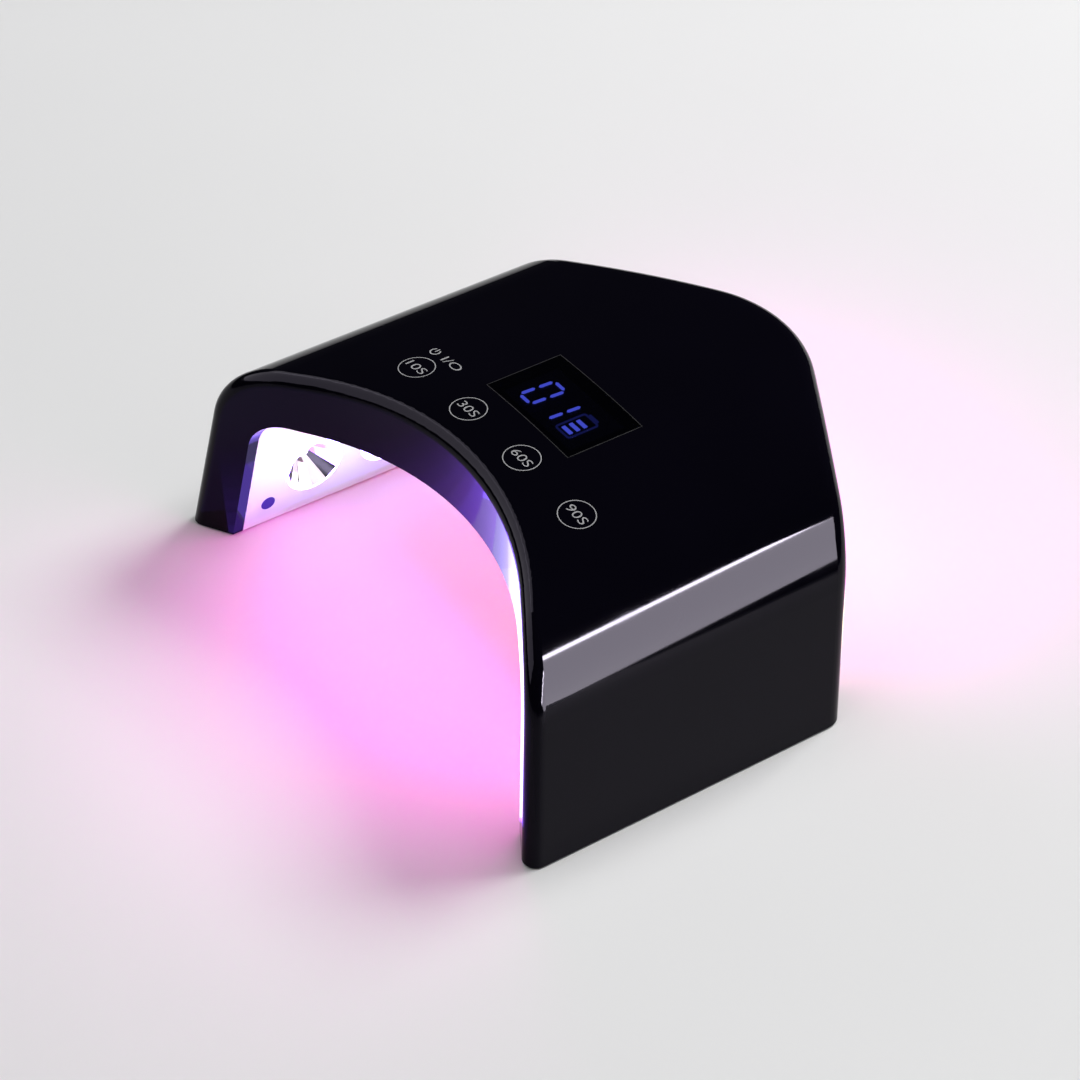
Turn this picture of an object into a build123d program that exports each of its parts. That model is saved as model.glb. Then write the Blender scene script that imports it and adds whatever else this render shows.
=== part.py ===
from build123d import *
import math
import os

# Cordless nail lamp: an arch that stands on its two legs over a hand.
# Millimetres.  +X is to the right seen from the front, the hand goes in along +Y, +Z is up.
# The pieces are drawn with z = 0 at the lower edge of the housing and y = 0 at the sharp front
# corner of a leg.  write_node moves them so that the origin is at the centre of the footprint.

# ---- housing: outside ----
HALF_WIDTH = 100.0
HEIGHT = 78.6
LEG_LEAN = math.radians(9.1)
SHOULDER_RADIUS = 28.0
CROWN_RADIUS = 368.0
FRONT_TIP = 62.2
FRONT_SWEEP = math.atan(FRONT_TIP / HALF_WIDTH)
FRONT_RADIUS = 110.0
SIDE_DEPTH = 121.7
BACK_SWEEP = math.radians(29.9)
BACK_TIP = SIDE_DEPTH + HALF_WIDTH * math.tan(BACK_SWEEP)
BACK_RADIUS = 50.0
FRONT_ROUNDING = 4.2
BACK_ROUNDING = 6.4
WALL = 2.2
FRONT_WALL = 3.2
BACK_WALL = 2.5

# ---- tunnel: inside ----
TUNNEL_HALF = 83.6
TUNNEL_LEAN = math.radians(8.4)
TUNNEL_SHOULDER = 13.5
TUNNEL_CROWN = 877.0
TUNNEL_HEIGHT = 54.5
LINER = 2.0
GAP = 0.1

# ---- base ----
PLATE = 3.0
FOOT_PROUD = 0.6
FOOT_RADIUS = 4.0
FOOT_RECESS = 1.0
LEG_CENTRE = 91.6
FOOT_STATIONS = (40.0, 96.0)
POST_STATIONS = (15.2, 117.5)
POST_WIDTH = 5.6
POST_TOP = 22.0

# ---- light units ----
CUP_RADIUS = 11.0
CUP_MOUTH = 10.2
CUP_THROAT = 3.4
CUP_WALL = 0.7
CUP_DEPTH = 8.0
CUP_RIM = 1.0
FACETS = 12
BOARD = 1.6
SIDE_CUPS = [(station, 18.3) for station in (41.0, 70.0, 99.0)]
CEILING_CUPS = [(column, row) for column in (-28.0, 0.0, 28.0) for row in (74.0, 104.0)]
SIDE_STANDOFFS = [(station, rise) for station in (55.5, 84.5) for rise in (7.0, 29.5)]
CEILING_STANDOFFS = [(column, row) for column in (-14.0, 14.0) for row in (60.0, 118.0)]
STANDOFF_RADIUS = 2.4
SENSOR_PLACE = (23.4, 8.5)
SENSOR_WINDOW = 2.7

# ---- keys and display ----
KEY_ROW = 57.1
KEY_PITCH = 29.2
KEY_RADIUS = 6.2
KEY_GAP = 0.2
KEY_TRAVEL = 0.5
KEY_SEAT = 72.0
KEY_NAMES = ("10s", "30s", "60s", "90s")
GUIDE_WALL = 1.6
FLANGE_RADIUS = 7.3
FLANGE = 0.8
PLUNGER_RADIUS = 1.6
SWITCH = 1.8
SWITCH_FLOOR = 0.5
WINDOW_WIDTH = 43.6
WINDOW_DEPTH = 28.1
WINDOW_ROW = 83.4
WINDOW_THICK = 1.2
WINDOW_CORNER = 0.8
WINDOW_LEDGE = 2.6
ZERO_LEFT = -13.8
DIGIT_PITCH = 9.1
DIGIT_LOW = 76.0
DIGIT_WIDTH = 6.1
DIGIT_HEIGHT = 13.0
DIGIT_LEAN = 0.8
BAR_WIDTH = 1.05
BAR_GAP = 0.75
BATTERY_PLACE = (9.4, 81.7)

# ---- boards and battery in the crown ----
CONTROL_LOW = 66.2
CONTROL_TOP = CONTROL_LOW + BOARD
CONTROL_HALF = 55.0
CONTROL_ROWS = (48.0, 100.0)
CONTROL_POSTS = [(0.0, 51.5), (-51.0, 74.0), (51.0, 74.0), (-30.0, 95.5), (30.0, 95.5)]
TRAY_LOW = 65.6
TRAY = 1.2
TRAY_POSTS = [(x, y) for x in (-52.5, 52.5) for y in (106.5, 138.0)]
CELL = (43.5, 40.0, 6.4)
CELL_ROW = 124.5
LINER_POSTS = [(x, y) for x in (-62.0, 62.0) for y in (45.0, 120.0)]
LINER_PAD_TOP = 57.5
CHARGER_LOW = 57.4
SOCKET_RISE = 64.2
WIRE_RADIUS = 0.6

REACH = 130.0
RUN_START = -40.0
RUN = 260.0


# ---- outlines ----
def arch_outline(half_width, lean, shoulder, crown, height):
    """Two leaning legs, rounded shoulders and a shallow crown arc, drawn in X and Z."""
    top = height + 1
    narrow = half_width - top * math.tan(lean)
    legs = Polygon((-half_width, 0), (half_width, 0), (narrow, top), (-narrow, top), align=None)
    outline = legs & Pos(0, height - crown) * Circle(crown)
    return fillet(outline.vertices().sort_by(Axis.Y)[-2:], shoulder)


def outer_arch(inset=0.0):
    half = HALF_WIDTH - inset / math.cos(LEG_LEAN)
    return arch_outline(half, LEG_LEAN, SHOULDER_RADIUS - inset, CROWN_RADIUS - inset, HEIGHT - inset)


def tunnel_arch(outset=0.0):
    half = TUNNEL_HALF + outset / math.cos(TUNNEL_LEAN)
    return arch_outline(half, TUNNEL_LEAN, TUNNEL_SHOULDER + outset, TUNNEL_CROWN + outset,
                        TUNNEL_HEIGHT + outset)


def bent_line(tip, sweep, radius, direction):
    """A shallow chevron with a round tip on the Y axis, drawn from one side to the other."""
    low = tip - REACH * math.tan(sweep)
    side = REACH * direction
    return FilletPolyline((-side, low), (0, tip), (side, low), radius=radius)


def plan_outline(front_inset=0.0, back_inset=0.0):
    """Seen from above: hollow front, chevron back, straight sides far outside the legs."""
    front = bent_line(FRONT_TIP + front_inset / math.cos(FRONT_SWEEP), FRONT_SWEEP,
                      FRONT_RADIUS + front_inset, 1)
    back = bent_line(BACK_TIP - back_inset / math.cos(BACK_SWEEP), BACK_SWEEP,
                     BACK_RADIUS - back_inset, -1)
    return make_face(front + Line(front @ 1, back @ 0) + back + Line(back @ 1, front @ 0))


# ---- solids from outlines ----
def along_tunnel(outline):
    return extrude(Plane.XZ.offset(-RUN_START) * outline, amount=-RUN)


def upright(outline, low, high):
    return Pos(0, 0, low) * extrude(outline, amount=high - low)


def rod(x, y, low, high, radius):
    return Pos(x, y, low) * Cylinder(radius, high - low, align=(Align.CENTER, Align.CENTER, Align.MIN))


def block(x_range, y_range, z_range):
    size = [pair[1] - pair[0] for pair in (x_range, y_range, z_range)]
    corner = Pos(x_range[0], y_range[0], z_range[0])
    return corner * Box(*size, align=(Align.MIN, Align.MIN, Align.MIN))


def joined(solids):
    solids = list(solids)
    return solids[0] + solids[1:]


def crown_layer(start, end):
    """The skin of the crown between two depths below its outer surface."""
    return along_tunnel(outer_arch(start)) - along_tunnel(outer_arch(end))


def crown_height(x, inset=0.0):
    return HEIGHT - CROWN_RADIUS + math.sqrt((CROWN_RADIUS - inset) ** 2 - x * x)


# ---- frames for the two side walls and the ceiling of the tunnel ----
def side_frame(station, rise, depth=0.0):
    """On the right wall of the tunnel: station along +Y, rise up the wall, depth into the leg."""
    out = (math.cos(TUNNEL_LEAN), 0, math.sin(TUNNEL_LEAN))
    wall = Plane(origin=(TUNNEL_HALF, 0, 0), x_dir=(0, 1, 0), z_dir=out)
    return wall * Pos(station, rise, depth)


def ceiling_frame(x, y, depth=0.0):
    sag = TUNNEL_CROWN - math.sqrt(TUNNEL_CROWN ** 2 - x * x)
    return Pos(x, y, TUNNEL_HEIGHT - sag + depth)


def ceiling_level(x, y, depth=0.0):
    return Pos(x, y, TUNNEL_HEIGHT + depth)


def on_left(part):
    return mirror(part, about=Plane.YZ)


# ---- housing ----
def face_border(body, sign):
    """Edges where the front (-1) or back (+1) faces meet the outside of the arch."""
    faces = [face for face in body.faces() if sign * face.normal_at().Y > 0.5]
    shared = {}
    for face in faces:
        for edge in face.edges():
            middle = edge @ 0.5
            key = (round(middle.X, 3), round(middle.Y, 3), round(middle.Z, 3))
            shared.setdefault(key, []).append(edge)
    return [edges[0] for key, edges in shared.items() if len(edges) == 1 and key[2] > 0.01]


def housing_block():
    body = along_tunnel(outer_arch()) & upright(plan_outline(), 0, HEIGHT + 1)
    body = fillet(face_border(body, -1), FRONT_ROUNDING)
    return fillet(face_border(body, 1), BACK_ROUNDING)


def inner_room(gap=0.0):
    """The space between the front wall and the back wall of the housing."""
    return upright(plan_outline(FRONT_WALL + gap, BACK_WALL + gap), 0, HEIGHT)


def leg_posts(body):
    posts = [block((89.4, HALF_WIDTH), (y - POST_WIDTH / 2, y + POST_WIDTH / 2), (PLATE, POST_TOP))
             for y in POST_STATIONS]
    right = joined(posts) & body
    return right + on_left(right)


def hanging_post(x, y, low, radius):
    return rod(x, y, low, crown_height(x, WALL) + 0.8, radius)


def key_places():
    return [((index - 1.5) * KEY_PITCH, KEY_ROW) for index in range(len(KEY_NAMES))]


def window_outline(margin):
    outline = RectangleRounded(WINDOW_WIDTH + 2 * margin, WINDOW_DEPTH + 2 * margin, WINDOW_CORNER)
    return Pos(0, WINDOW_ROW) * outline


def outer_shell(body):
    room = along_tunnel(outer_arch(WALL)) & inner_room()
    shell = body - room - along_tunnel(tunnel_arch())
    shell += leg_posts(body)
    shell += [hanging_post(x, y, LINER_PAD_TOP, 3.0) for x, y in LINER_POSTS]
    shell += [hanging_post(x, y, CONTROL_TOP, 2.5) for x, y in CONTROL_POSTS]
    shell += [hanging_post(x, y, TRAY_LOW + TRAY, 2.5) for x, y in TRAY_POSTS]
    bore = KEY_RADIUS + KEY_GAP
    for x, y in key_places():
        shell += rod(x, y, KEY_SEAT, crown_height(x, WALL), bore + GUIDE_WALL)
    for x, y in key_places():
        shell -= rod(x, y, KEY_SEAT - 1, HEIGHT + 1, bore)
    shell -= crown_layer(-1, WINDOW_THICK + 0.05) & upright(window_outline(0.05), HEIGHT - 5, HEIGHT + 1)
    shell -= upright(window_outline(-WINDOW_LEDGE), HEIGHT - 6, HEIGHT + 1)
    shell -= Pos(0, BACK_TIP, SOCKET_RISE) * Rot(90, 0, 0) * Cylinder(4.1, 60)
    for x, y in LINER_POSTS:
        shell -= rod(x, y, LINER_PAD_TOP, 68, 1.05)
    for x, y in CONTROL_POSTS + TRAY_POSTS:
        shell -= rod(x, y, TRAY_LOW, 72, 0.85)
    for x in (-LEG_CENTRE, LEG_CENTRE):
        for y in POST_STATIONS:
            shell -= rod(x, y, PLATE, 18, 1.05)
    return shell


def inner_liner():
    skin = along_tunnel(tunnel_arch(LINER)) - along_tunnel(tunnel_arch())
    liner = skin & inner_room(GAP)
    board_face = CUP_DEPTH - GAP
    stands = [side_frame(*place, (LINER + board_face) / 2 - 0.2) *
              Cylinder(STANDOFF_RADIUS, board_face - LINER + 0.4) for place in SIDE_STANDOFFS]
    tops = [ceiling_level(*place, (LINER + board_face) / 2 - 0.3) *
            Cylinder(STANDOFF_RADIUS, board_face - LINER + 0.6) for place in CEILING_STANDOFFS]
    pads = [rod(x, y, TUNNEL_HEIGHT - 1.6, LINER_PAD_TOP, 4.2) for x, y in LINER_POSTS]
    charger_pads = [rod(x, 151.0, TUNNEL_HEIGHT + 1, CHARGER_LOW, 2.4) for x in (-10.5, 10.5)]
    liner += stands + [on_left(stand) for stand in stands] + tops + pads + charger_pads
    holes = [side_frame(*place) * Cylinder(CUP_RADIUS, 6) for place in SIDE_CUPS]
    holes += [side_frame(*SENSOR_PLACE) * Cylinder(SENSOR_WINDOW, 6)]
    holes += [side_frame(*place, board_face - 2) * Cylinder(0.85, 4.1) for place in SIDE_STANDOFFS]
    holes += [on_left(hole) for hole in holes]
    holes += [ceiling_frame(*place) * Cylinder(CUP_RADIUS, 8) for place in CEILING_CUPS]
    holes += [ceiling_level(*place, board_face - 2) * Cylinder(0.85, 4.1) for place in CEILING_STANDOFFS]
    holes += [rod(x, y, TUNNEL_HEIGHT - 5, LINER_PAD_TOP + 1, 1.4) for x, y in LINER_POSTS]
    holes += [rod(x, y, TUNNEL_HEIGHT - 5, TUNNEL_HEIGHT + 0.2, 2.8) for x, y in LINER_POSTS]
    holes += [rod(x, 151.0, TUNNEL_HEIGHT + 0.5, CHARGER_LOW + 1, 0.85) for x in (-10.5, 10.5)]
    return liner - holes


def base_plate():
    """Closes the right leg from below, between the housing and the liner."""
    hollow = along_tunnel(outer_arch(WALL + GAP)) - along_tunnel(tunnel_arch(LINER + GAP))
    right = block((0, HALF_WIDTH), (RUN_START, RUN), (0, PLATE))
    plate = hollow & inner_room(2 * GAP) & right
    for y in POST_STATIONS:
        plate -= rod(LEG_CENTRE, y, -1, PLATE + 1, 1.4)
        plate -= rod(LEG_CENTRE, y, -1, 1.8, 2.7)
    for y in FOOT_STATIONS:
        plate -= rod(LEG_CENTRE, y, -1, FOOT_RECESS, FOOT_RADIUS)
    return plate


def screw(x, y, head_low, head_high, tip, head_radius, shank_radius, upward=True):
    head = rod(x, y, head_low, head_high, head_radius)
    cross = Box(head_radius, 0.6, 0.8) + Box(0.6, head_radius, 0.8)
    face = head_low if upward else head_high
    low, high = (head_high, tip) if upward else (tip, head_low)
    return head - Pos(x, y, face) * cross + rod(x, y, low, high, shank_radius)


def base_screws():
    return [screw(x, y, 0.2, 1.8, 14.0, 2.5, 1.05)
            for x in (-LEG_CENTRE, LEG_CENTRE) for y in POST_STATIONS]


def liner_screws():
    low = TUNNEL_HEIGHT - 1.4
    return [screw(x, y, low, TUNNEL_HEIGHT + 0.2, 66.5, 2.5, 1.05) for x, y in LINER_POSTS]


def rubber_feet():
    foot = Cylinder(FOOT_RADIUS, FOOT_RECESS + FOOT_PROUD, align=(Align.CENTER, Align.CENTER, Align.MAX))
    foot = chamfer(foot.edges().group_by(Axis.Z)[0], 0.3)
    return [Pos(x, y, FOOT_RECESS) * foot for x in (-LEG_CENTRE, LEG_CENTRE) for y in FOOT_STATIONS]


# ---- light units ----
def reflector_cup():
    """A facetted metallised bowl with its rim in the liner and its throat on the board."""
    grow = CUP_WALL
    mouth = RegularPolygon(CUP_MOUTH, FACETS)
    throat = Pos(0, 0, CUP_DEPTH) * RegularPolygon(CUP_THROAT, FACETS)
    wide = RegularPolygon(CUP_MOUTH + grow, FACETS)
    narrow = Pos(0, 0, CUP_DEPTH) * RegularPolygon(CUP_THROAT + grow, FACETS)
    rim = Cylinder(CUP_RADIUS, CUP_RIM, align=(Align.CENTER, Align.CENTER, Align.MIN))
    return loft([wide, narrow]) + rim - loft([mouth, throat])


def emitter():
    """A surface-mounted light source with a small dome, face down on z = CUP_DEPTH."""
    base = Pos(0, 0, CUP_DEPTH - 0.4) * Box(3.5, 3.5, 0.8)
    dome = Pos(0, 0, CUP_DEPTH - 0.8) * Sphere(1.3) & Pos(0, 0, CUP_DEPTH - 2.2) * Box(4, 4, 2.8)
    return base + dome


def side_board():
    board = side_frame(66.25, 18.3, CUP_DEPTH + BOARD / 2) * Box(93.5, 29.4, BOARD)
    bores = [side_frame(*place, CUP_DEPTH) * Cylinder(1.1, 6) for place in SIDE_STANDOFFS]
    return board - bores


def ceiling_board():
    board = ceiling_level(0, 89.0, CUP_DEPTH + BOARD / 2) * Box(84, 64, BOARD)
    return board - [ceiling_level(*place, CUP_DEPTH) * Cylinder(1.1, 6) for place in CEILING_STANDOFFS]


def board_screw():
    """Head on the back of a light board, shank towards the tunnel."""
    head = Pos(0, 0, CUP_DEPTH + BOARD + 0.6) * Cylinder(1.9, 1.2)
    shank = Pos(0, 0, CUP_DEPTH + BOARD - 2.4) * Cylinder(0.85, 4.8)
    slot = Pos(0, 0, CUP_DEPTH + BOARD + 1.2) * (Box(2.4, 0.5, 0.8) + Box(0.5, 2.4, 0.8))
    return head - slot + shank


def level_cups():
    """Cups of one ceiling board stand on it at one level, so the outer ones look out a little."""
    return [ceiling_level(*place) * reflector_cup() for place in CEILING_CUPS]


def sensor_window():
    return side_frame(*SENSOR_PLACE, LINER / 2) * Cylinder(SENSOR_WINDOW - 0.05, LINER)


def sensor_body():
    length = CUP_DEPTH - LINER - 0.2
    return side_frame(*SENSOR_PLACE, CUP_DEPTH - length / 2) * Cylinder(2.3, length)


# ---- keys and display ----
def key_cap(body, x, y):
    cap = rod(x, y, KEY_SEAT - FLANGE, HEIGHT + 1, KEY_RADIUS) & body
    flange = rod(x, y, KEY_SEAT - GAP - FLANGE, KEY_SEAT - GAP, FLANGE_RADIUS)
    stem = rod(x, y, plunger_top(), KEY_SEAT - FLANGE, PLUNGER_RADIUS)
    return cap + flange + stem


def plunger_top():
    return CONTROL_TOP + SWITCH + 0.3 + KEY_TRAVEL


def plunger(x, y):
    return rod(x, y, CONTROL_TOP + SWITCH_FLOOR + 0.2 + KEY_TRAVEL, plunger_top(), PLUNGER_RADIUS)


def switch_body(x, y):
    body = Pos(x, y, CONTROL_TOP + SWITCH / 2) * Box(6.2, 6.2, SWITCH)
    return body - rod(x, y, CONTROL_TOP + SWITCH_FLOOR, CONTROL_TOP + SWITCH + 1, PLUNGER_RADIUS + 0.15)


def display_window():
    return crown_layer(0, WINDOW_THICK) & upright(window_outline(0), HEIGHT - 5, HEIGHT + 1)


def display_module():
    top = HEIGHT - WINDOW_THICK - 0.9
    return block((-18, 18), (WINDOW_ROW - 10.5, WINDOW_ROW + 10.5), (CONTROL_TOP, top))


def light_bar(start, end):
    """A flat bar with pointed ends, drawn in plan and a gap short of both points."""
    run = Vector(*end) - Vector(*start)
    length = run.length - 2 * BAR_GAP
    half = BAR_WIDTH / 2
    outline = Polygon((0, 0), (half, -half), (length - half, -half), (length, 0), (length - half, half),
                      (half, half), align=None)
    angle = math.degrees(math.atan2(run.Y, run.X))
    return Pos(*start) * Rot(0, 0, angle) * Pos(BAR_GAP, 0) * outline


def digit_bars(left, lit):
    """Seven-bar digit; lit names the bars a to g, clockwise from the top, g in the middle."""
    def corner(across, up):
        return (left + across * DIGIT_WIDTH + up * DIGIT_LEAN, DIGIT_LOW + up * DIGIT_HEIGHT)

    ends = {"a": ((0, 1), (1, 1)), "b": ((1, 0.5), (1, 1)), "c": ((1, 0), (1, 0.5)), "d": ((0, 0), (1, 0)),
            "e": ((0, 0), (0, 0.5)), "f": ((0, 0.5), (0, 1)), "g": ((0, 0.5), (1, 0.5))}
    return [light_bar(*[corner(*point) for point in ends[name]]) for name in lit]


def battery_icon():
    """A rounded outline with a cap on top and three charge bars inside."""
    frame = RectangleRounded(7.8, 12.0, 1.2) - RectangleRounded(6.6, 10.8, 0.6)
    cap = Pos(0, 6.55) * RectangleRounded(4.6, 0.8, 0.3)
    bars = [Pos(0, -3.7 + 2.8 * step) * Rectangle(4.3, 1.3) for step in range(3)]
    return [Pos(*BATTERY_PLACE) * outline for outline in [frame, cap] + bars]


def display_bars():
    outlines = digit_bars(ZERO_LEFT, "abcdef") + digit_bars(ZERO_LEFT + DIGIT_PITCH, "bc") + battery_icon()
    low = HEIGHT - WINDOW_THICK - 0.9
    return [upright(outline, low, low + 0.3) for outline in outlines]


# ---- boards, battery and charging ----
def control_board():
    board = block((-CONTROL_HALF, CONTROL_HALF), CONTROL_ROWS, (CONTROL_LOW, CONTROL_TOP))
    board = fillet(board.edges().filter_by(Axis.Z), 3)
    return board - [rod(x, y, CONTROL_LOW - 1, CONTROL_TOP + 1, 1.1) for x, y in CONTROL_POSTS]


def control_chips():
    controller = Pos(-34, 80, CONTROL_TOP + 0.6) * Box(7, 7, 1.2)
    drivers = [Pos(x, 76 + 9 * row, CONTROL_TOP + 0.7) * Box(5, 6, 1.4) for x in (26, 36) for row in (0, 1)]
    inductor = Pos(-40, 93, CONTROL_TOP + 1.5) * Cylinder(3.5, 3.0)
    capacitors = [rod(x, 94.0, CONTROL_TOP, CONTROL_TOP + 4.5, 2.5) for x in (40.0, 46.0)]
    buzzer = rod(-24.5, 78.0, CONTROL_TOP, CONTROL_TOP + 3, 4.0)
    return [controller, *drivers, inductor, *capacitors, buzzer]


def board_link():
    low = TUNNEL_HEIGHT + CUP_DEPTH + BOARD
    return block((-36, -24), (66, 68.6), (low, CONTROL_LOW))


def crown_screws(places, low):
    return [screw(x, y, low - 1.2, low, low + 5, 1.9, 0.85) for x, y in places]


def battery_tray():
    floor = block((-56, 56), (CELL_ROW - 21.3, CELL_ROW + 21.3), (TRAY_LOW, TRAY_LOW + TRAY))
    half_x = CELL[0] + 0.6
    half_y = CELL[1] / 2 + 0.1
    rim = block((-half_x - 1.2, half_x + 1.2), (CELL_ROW - half_y - 1.1, CELL_ROW + half_y + 1.1),
                (TRAY_LOW, TRAY_LOW + 4.5))
    pocket = block((-half_x, half_x), (CELL_ROW - half_y, CELL_ROW + half_y), (TRAY_LOW + TRAY, HEIGHT))
    tray = floor + rim - pocket
    tray -= [rod(x, y, TRAY_LOW - 1, HEIGHT, 1.1) for x, y in TRAY_POSTS]
    return tray & inner_room(0.5)


def battery_cells():
    low = TRAY_LOW + TRAY
    cells = []
    for side in (-1, 1):
        cell = Pos(side * (CELL[0] / 2 + 0.25), CELL_ROW, low + CELL[2] / 2) * Box(*CELL)
        cells.append(fillet(cell.edges().filter_by(Axis.X), 2.0))
    return cells


def charging_board():
    board = block((-14, 14), (148, 166), (CHARGER_LOW, CHARGER_LOW + BOARD))
    return board - [rod(x, 151.0, CHARGER_LOW - 1, CHARGER_LOW + BOARD + 1, 1.1) for x in (-10.5, 10.5)]


def charging_screws():
    top = CHARGER_LOW + BOARD
    return [screw(x, 151.0, top, top + 1.2, TUNNEL_HEIGHT + 0.6, 1.9, 0.85, upward=False)
            for x in (-10.5, 10.5)]


def dc_socket():
    low = CHARGER_LOW + BOARD
    body = block((-4.5, 4.5), (155.0, 168.6), (low, SOCKET_RISE + 5))
    nose = Pos(0, 169.6, SOCKET_RISE) * Rot(90, 0, 0) * Cylinder(3.95, 3.0)
    bore = Pos(0, 166.6, SOCKET_RISE) * Rot(90, 0, 0) * Cylinder(3.1, 11.0)
    return body + nose - bore


def dc_pin():
    pin = Pos(0, 165.6, SOCKET_RISE) * Rot(90, 0, 0) * Cylinder(1.0, 9.0)
    return chamfer(pin.edges().group_by(Axis.Y)[-1], 0.4)


def wire(points, radius):
    path = FilletPolyline(*points, radius=radius)
    section = Plane(origin=path @ 0, z_dir=path % 0) * Circle(WIRE_RADIUS)
    return sweep(section, path)


def side_wires():
    """From the edge of the control board over the shoulder to the top of a side board."""
    wires = []
    for y in (78.0, 81.0):
        points = [(CONTROL_HALF, y, 67.0), (74.0, y, 67.0), (86.0, y, 55.0), (88.2, y, 34.6)]
        wires.append(wire(points, 6.0))
    return wires + [on_left(part) for part in wires]


def battery_leads():
    rear = CELL_ROW - CELL[1] / 2
    return [wire([(x, rear, 71.6), (x, 98.0, 71.6), (x, 98.0, CONTROL_TOP)], 1.5) for x in (8.0, 11.0)]


def charging_leads():
    rear = CELL_ROW + CELL[1] / 2
    low = CHARGER_LOW + BOARD
    return [wire([(x, 150.0, low), (x, 150.0, 71.6), (x, rear, 71.6)], 1.5) for x in (-6.0, -3.0)]


# ---- hand-over ----
def solids_of(part):
    return [solid for item in (part if isinstance(part, list) else [part]) for solid in item.solids()]


def write_node(name, part, place):
    solids = [place * solid for solid in solids_of(part)]
    export_step(solids[0] if len(solids) == 1 else Compound(children=solids), f"parts/{name}.step")


def all_nodes():
    body = housing_block()
    nodes = {"outer_shell": outer_shell(body), "inner_liner": inner_liner()}
    nodes["right_base_plate"] = base_plate()
    nodes["left_base_plate"] = on_left(nodes["right_base_plate"])
    nodes["base_screws"] = base_screws()
    nodes["liner_screws"] = liner_screws()
    nodes["rubber_feet"] = rubber_feet()
    right = {"led_board": [side_board()],
             "reflectors": [side_frame(*place) * reflector_cup() for place in SIDE_CUPS],
             "leds": [side_frame(*place) * emitter() for place in SIDE_CUPS],
             "board_screws": [side_frame(*place) * board_screw() for place in SIDE_STANDOFFS]}
    for name, parts in right.items():
        nodes[f"right_{name}"] = parts
        nodes[f"left_{name}"] = [on_left(part) for part in parts]
    nodes["ceiling_led_board"] = ceiling_board()
    nodes["ceiling_reflectors"] = level_cups()
    nodes["ceiling_leds"] = [ceiling_level(*place) * emitter() for place in CEILING_CUPS]
    nodes["ceiling_board_screws"] = [ceiling_level(*place) * board_screw() for place in CEILING_STANDOFFS]
    nodes["sensor_windows"] = [sensor_window(), on_left(sensor_window())]
    nodes["ir_emitter"] = sensor_body()
    nodes["ir_receiver"] = on_left(sensor_body())
    for name, (x, y) in zip(KEY_NAMES, key_places()):
        nodes[f"key_{name}"] = key_cap(body, x, y)
        nodes[f"plunger_{name}"] = plunger(x, y)
    nodes["tact_switches"] = [switch_body(x, y) for x, y in key_places()]
    nodes["display_window"] = display_window()
    nodes["display_module"] = display_module()
    nodes["display_bars"] = display_bars()
    nodes["control_board"] = control_board()
    nodes["control_chips"] = control_chips()
    nodes["control_screws"] = crown_screws(CONTROL_POSTS, CONTROL_LOW)
    nodes["board_link"] = board_link()
    nodes["battery_tray"] = battery_tray()
    nodes["tray_screws"] = crown_screws(TRAY_POSTS, TRAY_LOW)
    nodes["battery_cells"] = battery_cells()
    nodes["battery_leads"] = battery_leads()
    nodes["charging_board"] = charging_board()
    nodes["charging_screws"] = charging_screws()
    nodes["charging_leads"] = charging_leads()
    nodes["dc_socket"] = dc_socket()
    nodes["dc_pin"] = dc_pin()
    nodes["side_wires"] = side_wires()
    return nodes


os.makedirs("parts", exist_ok=True)
NODES = all_nodes()
PLACE = Pos(0, -NODES["outer_shell"].bounding_box().center().Y, FOOT_PROUD)
for node_name, node_part in NODES.items():
    write_node(node_name, node_part, PLACE)
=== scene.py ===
"""Looks of the cordless nail lamp: materials, printed legends, lit display, light units and studio."""
import math

import bpy
import bmesh
from mathutils import Matrix, Vector


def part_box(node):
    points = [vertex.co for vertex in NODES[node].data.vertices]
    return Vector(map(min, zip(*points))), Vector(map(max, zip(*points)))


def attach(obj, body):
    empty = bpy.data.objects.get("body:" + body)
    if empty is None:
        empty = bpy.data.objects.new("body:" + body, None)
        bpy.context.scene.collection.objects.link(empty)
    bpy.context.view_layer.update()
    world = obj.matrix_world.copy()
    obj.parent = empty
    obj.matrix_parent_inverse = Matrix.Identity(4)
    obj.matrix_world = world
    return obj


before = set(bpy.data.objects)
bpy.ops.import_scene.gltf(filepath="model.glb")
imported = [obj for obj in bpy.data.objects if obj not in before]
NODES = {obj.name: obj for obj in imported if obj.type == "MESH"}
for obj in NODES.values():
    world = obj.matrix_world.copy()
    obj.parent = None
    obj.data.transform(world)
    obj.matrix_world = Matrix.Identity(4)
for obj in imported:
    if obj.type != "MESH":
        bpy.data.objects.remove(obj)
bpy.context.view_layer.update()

# ---- camera: the aim point is on its axis, metres and degrees ----
AIM = Vector((0.01264, -0.02093, 0.04))
AZIMUTH = math.radians(53.61)
ELEVATION = math.radians(40.21)
ROLL = math.radians(1.94)
DISTANCE = 1.0843
LENS = 114.2

MM = 0.001
VIOLET = (0.20, 0.08, 1.0)
MAGENTA = (1.0, 0.02, 0.36)
ORCHID = (0.95, 0.10, 0.80)
LAVENDER = (0.72, 0.62, 1.0)
WARM = (0.9, 1.0, 0.1)
WHITE = (1.0, 1.0, 1.0)
PALE_VIOLET = (0.96, 0.93, 1.0)

# ---- the crown that the legends are printed on ----
CROWN_RADIUS = 368 * MM
CROWN_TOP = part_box("outer_shell")[1][2]
INK = 0.04 * MM
KEY_RING = 6.1 * MM
RING_STROKE = 0.32 * MM
NUMERAL_HEIGHT = 3.3 * MM
NUMERAL_WIDTH = 8.6 * MM

# ---- the lit display, in shares of its width and depth; the charge bars by middle and reach ----
DIGITS_END = 0.66
CHARGE_COLUMN = (0.856, 0.09)
CHARGE_ROWS = (0.383, 0.28)

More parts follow.
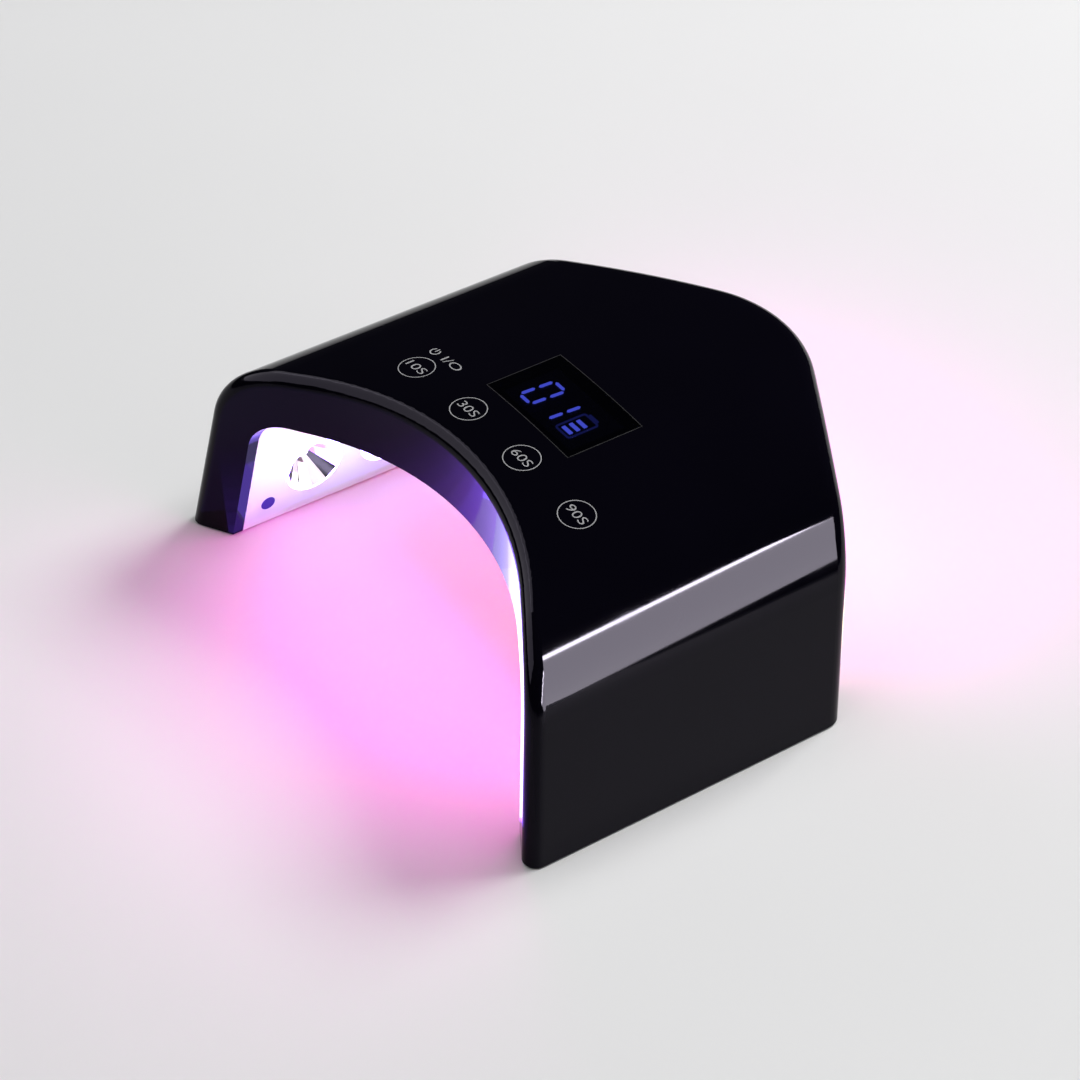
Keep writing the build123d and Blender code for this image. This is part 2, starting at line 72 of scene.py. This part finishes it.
# ---- the sheen on the table: where it starts at the left, how far it goes to the right and back ----
SHEEN_LEFT = -85 * MM
SHEEN_REACH = 80 * MM
STRIP_STEP = 0.2 * MM


# ---- small helpers ----
def mesh_piece(name, bm, material, body):
    data = bpy.data.meshes.new(name)
    bm.to_mesh(data)
    bm.free()
    piece = bpy.data.objects.new(name, data)
    bpy.context.collection.objects.link(piece)
    piece.data.materials.append(material)
    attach(piece, body)


def centre_of(node):
    low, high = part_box(node)
    return (Vector(low) + Vector(high)) / 2


def crown_height(x):
    return CROWN_TOP - CROWN_RADIUS + math.sqrt(CROWN_RADIUS ** 2 - x * x)


def printed(name, bm, place, body, ink):
    """Artwork drawn flat about its own origin, laid on the crown at a place seen from above."""
    for vert in bm.verts:
        x = vert.co.x + place.x
        vert.co = (x, vert.co.y + place.y, crown_height(x) + INK)
    mesh_piece(name, bm, ink, body)


def add_ribbon(bm, points, stroke, closed=False):
    """A flat line of constant stroke along points in plan."""
    count = len(points)
    pairs = []
    for index, point in enumerate(points):
        before = points[(index - 1) % count] if closed or index else point
        after = points[(index + 1) % count] if closed or index < count - 1 else point
        run = (after - before).normalized()
        side = Vector((-run.y, run.x)) * stroke / 2
        pairs.append([bm.verts.new((*(point + sign * side), 0.0)) for sign in (1, -1)])
    for index in range(count if closed else count - 1):
        first, second = pairs[index], pairs[(index + 1) % count]
        bm.faces.new((first[0], first[1], second[1], second[0]))


def arc_points(radius, start, end, steps):
    angles = [math.radians(start + (end - start) * step / steps) for step in range(steps + 1)]
    return [Vector((radius * math.cos(angle), radius * math.sin(angle))) for angle in angles]


def add_words(bm, words, width, height, across=0.0):
    """Lettering scaled to a width and a height, centred a distance across from the origin."""
    curve = bpy.data.curves.new(words, "FONT")
    curve.body = words
    curve.offset = -0.006
    holder = bpy.data.objects.new(words, curve)
    data = bpy.data.meshes.new_from_object(holder)
    bpy.data.objects.remove(holder)
    xs = [vert.co.x for vert in data.vertices]
    ys = [vert.co.y for vert in data.vertices]
    for vert in data.vertices:
        x = ((vert.co.x - min(xs)) / (max(xs) - min(xs)) - 0.5) * width + across
        y = ((vert.co.y - min(ys)) / (max(ys) - min(ys)) - 0.5) * height
        vert.co = (x, y, 0.0)
    bm.from_mesh(data)
    bpy.data.meshes.remove(data)


# ---- materials ----
class Shader:
    """A short way to write a node tree around one Principled shader."""

    def __init__(self, name):
        self.material = bpy.data.materials.new(name)
        self.material.use_nodes = True
        self.tree = self.material.node_tree
        self.main = self.tree.nodes["Principled BSDF"]

    def add(self, kind, **values):
        node = self.tree.nodes.new(kind)
        for key, value in values.items():
            setattr(node, key, value)
        return node

    def link(self, source, target):
        self.tree.links.new(source, target)

    def set(self, **values):
        for key, value in values.items():
            socket = self.main.inputs[key.replace("_", " ")]
            socket.default_value = (*value, 1.0) if isinstance(value, tuple) else value
        return self

    def place(self):
        return self.add("ShaderNodeTexCoord").outputs["Object"]

    def noise(self, scale, detail=3.0, rough=0.5):
        node = self.add("ShaderNodeTexNoise")
        node.inputs["Scale"].default_value = scale
        node.inputs["Detail"].default_value = detail
        node.inputs["Roughness"].default_value = rough
        self.link(self.place(), node.inputs["Vector"])
        return node.outputs["Fac"]

    def spread(self, value, low, high, start=0.3, end=0.7):
        node = self.add("ShaderNodeMapRange")
        for name, number in (("From Min", start), ("From Max", end), ("To Min", low), ("To Max", high)):
            node.inputs[name].default_value = number
        self.link(value, node.inputs["Value"])
        return node.outputs["Result"]

    def compute(self, operation, value, *numbers):
        node = self.add("ShaderNodeMath", operation=operation)
        self.link(value, node.inputs[0])
        for socket, number in zip(node.inputs[1:], numbers):
            if isinstance(number, float):
                socket.default_value = number
            else:
                self.link(number, socket)
        return node.outputs["Value"]

    def tint(self, value, dark, light):
        node = self.add("ShaderNodeMix", data_type="RGBA")
        node.inputs[6].default_value = (*dark, 1.0)
        node.inputs[7].default_value = (*light, 1.0)
        self.link(value, node.inputs["Factor"])
        return node.outputs[2]

    def bump(self, value, strength, distance):
        node = self.add("ShaderNodeBump")
        node.inputs["Strength"].default_value = strength
        node.inputs["Distance"].default_value = distance
        self.link(value, node.inputs["Height"])
        self.link(node.outputs["Normal"], self.main.inputs["Normal"])


def gloss_black():
    """Piano-black moulding: faint flow waves, a little dust in the roughness, polished coat."""
    shader = Shader("gloss_black")
    shader.set(Specular_IOR_Level=0.095, IOR=1.46, Specular_Tint=(0.86, 0.80, 1.0))
    shader.link(shader.tint(shader.spread(shader.noise(9.0), 0, 1), (0.0012, 0.0010, 0.0028),
                            (0.0020, 0.0016, 0.0042)), shader.main.inputs["Base Color"])
    shader.link(shader.spread(shader.noise(60.0, 6.0), 0.045, 0.075), shader.main.inputs["Roughness"])
    shader.bump(shader.noise(420.0, 2.0), 0.03, 0.00002)
    return shader.material


def plastic(name, dark, light, rough, grain=900.0, depth=0.00004):
    shader = Shader(name)
    shader.link(shader.tint(shader.spread(shader.noise(30.0), 0, 1), dark, light),
                shader.main.inputs["Base Color"])
    shader.link(shader.spread(shader.noise(grain / 3), rough - 0.05, rough + 0.05),
                shader.main.inputs["Roughness"])
    shader.bump(shader.noise(grain, 4.0), 0.25, depth)
    return shader.material


def white_liner():
    shader = Shader("white_liner").set(Specular_IOR_Level=0.2)
    shader.link(shader.tint(shader.spread(shader.noise(14.0), 0, 1), (0.86, 0.86, 0.88),
                            (0.93, 0.93, 0.95)), shader.main.inputs["Base Color"])
    shader.link(shader.spread(shader.noise(120.0, 5.0), 0.16, 0.26), shader.main.inputs["Roughness"])
    shader.bump(shader.noise(260.0, 3.0), 0.05, 0.00004)
    return shader.material


def metal(name, colour, low, high, grain):
    shader = Shader(name).set(Metallic=1.0)
    darker = tuple(part * 0.85 for part in colour)
    shader.link(shader.tint(shader.spread(shader.noise(grain), 0, 1), darker, colour),
                shader.main.inputs["Base Color"])
    shader.link(shader.spread(shader.noise(grain * 4, 5.0), low, high), shader.main.inputs["Roughness"])
    shader.bump(shader.noise(grain * 8, 2.0), 0.06, 0.00002)
    return shader.material


def glow(name, colour, strength, wave=0.15, body=0.4, gloss=0.5):
    """A light-giving surface, a little uneven as a real diffuser is; on the LEDs it is their own light,
    on the sensor windows it is a painted glow.
    """
    shader = Shader(name).set(Roughness=0.3, Specular_IOR_Level=gloss)
    shader.main.inputs["Base Color"].default_value = (*(body * part for part in colour), 1.0)
    shader.main.inputs["Emission Color"].default_value = (*colour, 1.0)
    shader.link(shader.spread(shader.noise(700.0), strength * (1 - wave), strength * (1 + wave)),
                shader.main.inputs["Emission Strength"])
    return shader.material


def display_light():
    """Blue light bars: the battery sign's outline is fainter than its charge bars and the digits."""
    shader = Shader("display_blue").set(Roughness=0.3, Base_Color=(0.02, 0.03, 0.2))
    shader.set(Emission_Color=(0.17, 0.23, 1.0))
    split = shader.add("ShaderNodeSeparateXYZ")
    shader.link(shader.add("ShaderNodeTexCoord").outputs["Generated"], split.inputs["Vector"])
    digits = shader.compute("LESS_THAN", split.outputs["X"], DIGITS_END)
    column = shader.compute("COMPARE", split.outputs["X"], *CHARGE_COLUMN)
    charge = shader.compute("COMPARE", split.outputs["Y"], *CHARGE_ROWS)
    bright = shader.compute("MAXIMUM", digits, shader.compute("MULTIPLY", column, charge))
    shader.link(shader.spread(bright, 0.35, 3.8, 0.0, 1.0), shader.main.inputs["Emission Strength"])
    return shader.material


def smoked_acrylic():
    """Dark tinted window: mostly clear to what is lit behind it, polished in front."""
    shader = Shader("smoked_acrylic").set(Specular_IOR_Level=0.12, IOR=1.46)
    shader.link(shader.tint(shader.spread(shader.noise(20.0), 0, 1), (0.0004, 0.0004, 0.0010),
                            (0.0008, 0.0008, 0.0018)), shader.main.inputs["Base Color"])
    shader.link(shader.spread(shader.noise(90.0, 6.0), 0.03, 0.06), shader.main.inputs["Roughness"])
    clear = shader.add("ShaderNodeBsdfTransparent")
    clear.inputs["Color"].default_value = (0.55, 0.55, 0.75, 1.0)
    blend = shader.add("ShaderNodeMixShader")
    blend.inputs["Fac"].default_value = 0.5
    out = shader.tree.nodes["Material Output"]
    shader.link(shader.main.outputs["BSDF"], blend.inputs[1])
    shader.link(clear.outputs["BSDF"], blend.inputs[2])
    shader.link(blend.outputs["Shader"], out.inputs["Surface"])
    return shader.material


BLACK = gloss_black()
LEGEND = plastic("legend_ink", (0.31, 0.31, 0.32), (0.39, 0.39, 0.40), 0.5)
EDGE_GREY = plastic("window_edge", (0.003, 0.003, 0.0035), (0.006, 0.006, 0.007), 0.45)
MATT_BLACK = plastic("matt_black", (0.012, 0.012, 0.013), (0.02, 0.02, 0.022), 0.55)
RUBBER = plastic("foot_rubber", (0.015, 0.015, 0.015), (0.03, 0.03, 0.03), 0.8, 1500.0)
STEEL = metal("screw_steel", (0.62, 0.62, 0.64), 0.25, 0.4, 200.0)
MIRROR = metal("reflector_metal", (0.95, 0.93, 0.97), 0.03, 0.1, 60.0)
BOARD_WHITE = plastic("board_white", (0.72, 0.73, 0.72), (0.82, 0.83, 0.82), 0.4)
BOARD_GREEN = plastic("board_green", (0.01, 0.09, 0.035), (0.02, 0.14, 0.055), 0.35)
COMPONENT = plastic("component_black", (0.015, 0.015, 0.017), (0.03, 0.03, 0.033), 0.45)
FOIL = metal("cell_foil", (0.7, 0.71, 0.74), 0.3, 0.45, 90.0)
LEAD = plastic("lead_red", (0.35, 0.02, 0.015), (0.5, 0.03, 0.02), 0.45)
# the sensor windows and IR emitter are not lamps: their faint violet glow is painted light
SENSOR_PAINTED_GLOW = glow("sensor_painted_glow", (0.20, 0.05, 1.0), 0.12, body=0.08, gloss=0.05)
NODE_MATERIALS = {
    "outer_shell": BLACK, "inner_liner": white_liner(), "left_base_plate": MATT_BLACK,
    "right_base_plate": MATT_BLACK, "base_screws": STEEL, "liner_screws": STEEL, "rubber_feet": RUBBER,
    "left_led_board": BOARD_WHITE, "right_led_board": BOARD_WHITE, "ceiling_led_board": BOARD_WHITE,
    "left_reflectors": MIRROR, "right_reflectors": MIRROR, "ceiling_reflectors": MIRROR,
    "left_leds": glow("led_glow", (0.80, 0.55, 1.0), 4.0), "left_board_screws": STEEL,
    "right_board_screws": STEEL, "ceiling_board_screws": STEEL, "sensor_windows": SENSOR_PAINTED_GLOW,
    "ir_emitter": SENSOR_PAINTED_GLOW, "ir_receiver": COMPONENT, "tact_switches": COMPONENT,
    "display_window": smoked_acrylic(), "display_module": COMPONENT,
    "display_bars": display_light(), "control_board": BOARD_GREEN,
    "control_chips": COMPONENT, "control_screws": STEEL, "board_link": COMPONENT,
    "battery_tray": MATT_BLACK, "tray_screws": STEEL, "battery_cells": FOIL, "battery_leads": LEAD,
    "charging_board": BOARD_GREEN, "charging_screws": STEEL, "charging_leads": LEAD,
    "dc_socket": COMPONENT, "dc_pin": STEEL, "side_wires": LEAD,
}
NODE_MATERIALS["right_leds"] = NODE_MATERIALS["left_leds"]
NODE_MATERIALS["ceiling_leds"] = NODE_MATERIALS["left_leds"]


def dress_nodes():
    for name, piece in NODES.items():
        material = NODE_MATERIALS.get(name, BLACK if name.startswith("key_") else COMPONENT)
        for slot in piece.material_slots:
            slot.material = material


# ---- printed legends ----
def key_legends():
    """A ring round each timer key and its time in seconds."""
    for seconds in (10, 30, 60, 90):
        key = f"{seconds}s"
        bm = bmesh.new()
        add_ribbon(bm, arc_points(KEY_RING - RING_STROKE / 2, 0, 356.25, 95), RING_STROKE, closed=True)
        add_words(bm, f"{seconds}S", NUMERAL_WIDTH, NUMERAL_HEIGHT)
        printed(f"legend_{key}", bm, centre_of(f"key_{key}"), f"button_{key}", LEGEND)


def power_legend():
    """The usual on and off signs behind the first key, in place of a word."""
    bm = bmesh.new()
    stroke = 0.45 * MM
    radius = NUMERAL_HEIGHT / 2
    left = Vector((-6.0 * MM, 0.0))
    add_ribbon(bm, [left + point for point in arc_points(radius, 125, 415, 40)], stroke)
    add_ribbon(bm, [left, left + Vector((0.0, radius + stroke / 2))], stroke)
    add_words(bm, "I/O", 9.0 * MM, NUMERAL_HEIGHT, 3.6 * MM)
    place = centre_of("key_10s") + Vector((1.8 * MM, 9.9 * MM, 0.0))
    printed("legend_power", bm, place, "housing", LEGEND)


def window_edge():
    """The moulded edge that frames the display window, in short steps so that it follows the crown."""
    low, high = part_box("display_window")
    reach = Vector((high[0] - low[0], high[1] - low[1])) / 2 + Vector((0.2 * MM, 0.2 * MM))
    corners = [Vector((side_x * reach.x, side_y * reach.y))
               for side_x, side_y in ((1, 1), (-1, 1), (-1, -1), (1, -1))]
    steps = 16
    points = [start.lerp(end, step / steps)
              for start, end in zip(corners, corners[1:] + corners[:1]) for step in range(steps)]
    bm = bmesh.new()
    add_ribbon(bm, points, 0.3 * MM, closed=True)
    printed("window_edge", bm, centre_of("display_window"), "housing", EDGE_GREY)


# ---- studio ----
def area_light(name, place, target, width, height, colour, power, spread=180.0):
    data = bpy.data.lights.new(name, "AREA")
    data.shape = "RECTANGLE"
    data.size = width
    data.size_y = height
    data.energy = power
    data.color = colour
    data.spread = math.radians(spread)
    lamp = bpy.data.objects.new(name, data)
    lamp.location = place
    lamp.rotation_mode = "QUATERNION"
    lamp.rotation_quaternion = (Vector(target) - Vector(place)).to_track_quat("-Z", "Y")
    bpy.context.collection.objects.link(lamp)
    return lamp


def floor():
    shader = Shader("floor_paper")
    shader.link(shader.tint(shader.spread(shader.noise(3.0), 0, 1), (0.80, 0.80, 0.80),
                            (0.83, 0.83, 0.83)), shader.main.inputs["Base Color"])
    shader.set(Roughness=0.7, Specular_IOR_Level=0.2)
    bm = bmesh.new()
    bmesh.ops.create_grid(bm, x_segments=4, y_segments=4, size=6.0)
    data = bpy.data.meshes.new("floor")
    bm.to_mesh(data)
    bm.free()
    data.materials.append(shader.material)
    piece = bpy.data.objects.new("floor", data)
    bpy.context.collection.objects.link(piece)


def glossy_only(lamp):
    lamp.visible_camera = False
    lamp.visible_diffuse = False
    lamp.visible_transmission = False
    return lamp


def diffuse_only(lamp):
    lamp.visible_camera = False
    lamp.visible_glossy = False
    lamp.visible_transmission = False
    return lamp


def strip_light():
    """A long softbox at the right with a hot edge, seen as the grey band in the right shoulder."""
    along = Vector((0.0, 0.64, 0.768))
    facing = Vector((1.0, 0.0, 0.0))
    turn = Matrix((along, facing.cross(along), facing)).transposed().to_quaternion()
    across = facing.cross(along)
    middle = Vector((0.90, 0.72, 0.84))
    strips = (("side_strip", 0.0, 0.49, 95.0), ("strip_edge", 0.275, 0.06, 85.0))
    for name, offset, width, power in strips:
        place = middle + across * offset
        lamp = glossy_only(area_light(name, place, (0, 0, 0), 2.1, width, (1.0, 0.98, 0.98), power))
        lamp.rotation_quaternion = turn


def studio():
    world = bpy.data.worlds.new("studio")
    world.use_nodes = True
    world.node_tree.nodes["Background"].inputs["Color"].default_value = (0.035, 0.035, 0.04, 1.0)
    bpy.context.scene.world = world
    middle = (0.0, 0.0, 0.03)
    strip_light()
    diffuse_only(area_light("overhead", (0.0, 0.0, 2.2), middle, 2.2, 2.2, WHITE, 15.0))
    diffuse_only(area_light("back_key", (0.0, 1.6, 1.7), middle, 1.2, 0.9, WHITE, 46.0))
    diffuse_only(area_light("front_key", (0.0, -1.6, 1.7), middle, 1.2, 0.9, WHITE, 5.0))
    glossy_only(area_light("front_softbox", (-0.84, -0.94, 0.985), middle, 2.1, 1.3, PALE_VIOLET, 33.0))
    glossy_only(area_light("left_softbox", (-1.11, 0.03, 1.15), middle, 0.44, 0.8, PALE_VIOLET, 3.6))


def table_strip(name, layer, left, front, colour, radiance, right=SHEEN_REACH):
    """Light lying just above the table, seen only in gloss; each layer has a height of its own."""
    width, depth = right - left, SHEEN_REACH - front
    place = Vector(((left + right) / 2, front + depth / 2, layer * STRIP_STEP))
    above = place + Vector((0.0, 0.0, 1.0))
    power = radiance * math.pi * width * depth
    glossy_only(area_light(name, place, above, width, depth, colour, power))


def table_sheen():
    """Strips laid over each other, so that the mirror image brightens inward and to the right."""
    for step in range(7):
        front = -0.122 + 0.0068 * step
        table_strip(f"violet_{step}", 1 + step, SHEEN_LEFT, front, VIOLET, 0.25 * 1.4 ** step)
    for step in range(3):
        front = -0.072 + 0.0135 * step
        table_strip(f"warm_{step}", 8 + step, SHEEN_LEFT, front, WARM, 1.0)
    for step in range(6):
        left = -0.030 + 0.014 * step
        table_strip(f"white_{step}", 11 + step, left, -SHEEN_REACH, WHITE, 0.4)
    table_strip("left_violet", 17, SHEEN_LEFT, -0.072, VIOLET, 9.0, right=-0.062)


def lens_card():
    """A small grey card at the mouth of the arch, framed in dark by the one facet that mirrors it."""
    along = Vector((0.65, 0.50, -0.57)).normalized()
    across = Vector((0.71, -0.66, 0.24)).cross(along).normalized()
    card = area_light("lens_card", (-0.032, -0.091, 0.033), (0, 0, 0), 0.013, 0.003, LAVENDER, 0.00004)
    card.rotation_quaternion = Matrix((along, across, along.cross(across))).transposed().to_quaternion()
    glossy_only(card)


def tunnel_glow():
    """Magenta light on the table under the arch, pale light on its liner, violet sheen on the gloss."""
    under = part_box("inner_liner")[1][2] - 12 * MM
    lamp, table = (0.0, 0.0, under), (0.0, 0.0, 0.0)
    diffuse_only(area_light("lamp_glow", lamp, table, 0.16, 0.15, MAGENTA, 0.085, 170.0))
    for name, y, aim in (("front_spill", -0.045, -0.115), ("back_spill", 0.075, 0.11)):
        place, target = (0.0, y, under), (0.0, aim, 0.0)
        diffuse_only(area_light(name, place, target, 0.14, 0.03, ORCHID, 0.075, 140.0))
    fill, wall = (-0.010, -0.045, 0.008), (-0.083, -0.045, 0.036)
    diffuse_only(area_light("liner_fill", fill, wall, 0.07, 0.015, (0.7, 1.0, 0.9), 0.012, 65.0))
    front, above = (-0.005, -0.175, 0.001), (-0.005, -0.175, 1.0)
    glossy_only(area_light("front_sheen", front, above, 0.19, 0.17, VIOLET, 0.06))
    ceiling, below = (-0.030, -0.010, under - 0.004), (-0.030, -0.010, 0.0)
    glossy_only(area_light("ceiling_sheen", ceiling, below, 0.06, 0.12, (1.0, 0.92, 1.0), 0.022))
    table_sheen()
    lens_card()


def camera():
    right = Vector((math.cos(AZIMUTH), math.sin(AZIMUTH), 0.0))
    back = Vector((math.sin(AZIMUTH) * math.cos(ELEVATION), -math.cos(AZIMUTH) * math.cos(ELEVATION),
                   math.sin(ELEVATION)))
    up = back.cross(right)
    across = math.cos(ROLL) * right + math.sin(ROLL) * up
    upward = math.cos(ROLL) * up - math.sin(ROLL) * right
    data = bpy.data.cameras.new("camera")
    data.lens = LENS
    data.sensor_width = 36.0
    data.clip_start = 0.05
    data.clip_end = 50.0
    view = bpy.data.objects.new("camera", data)
    bpy.context.collection.objects.link(view)
    turn = Matrix((across, upward, back)).transposed().to_4x4()
    view.matrix_world = Matrix.Translation(AIM + back * DISTANCE) @ turn
    bpy.context.scene.camera = view


dress_nodes()
key_legends()
power_legend()
window_edge()
floor()
studio()
tunnel_glow()
camera()
bpy.context.scene.view_settings.view_transform = "Standard"
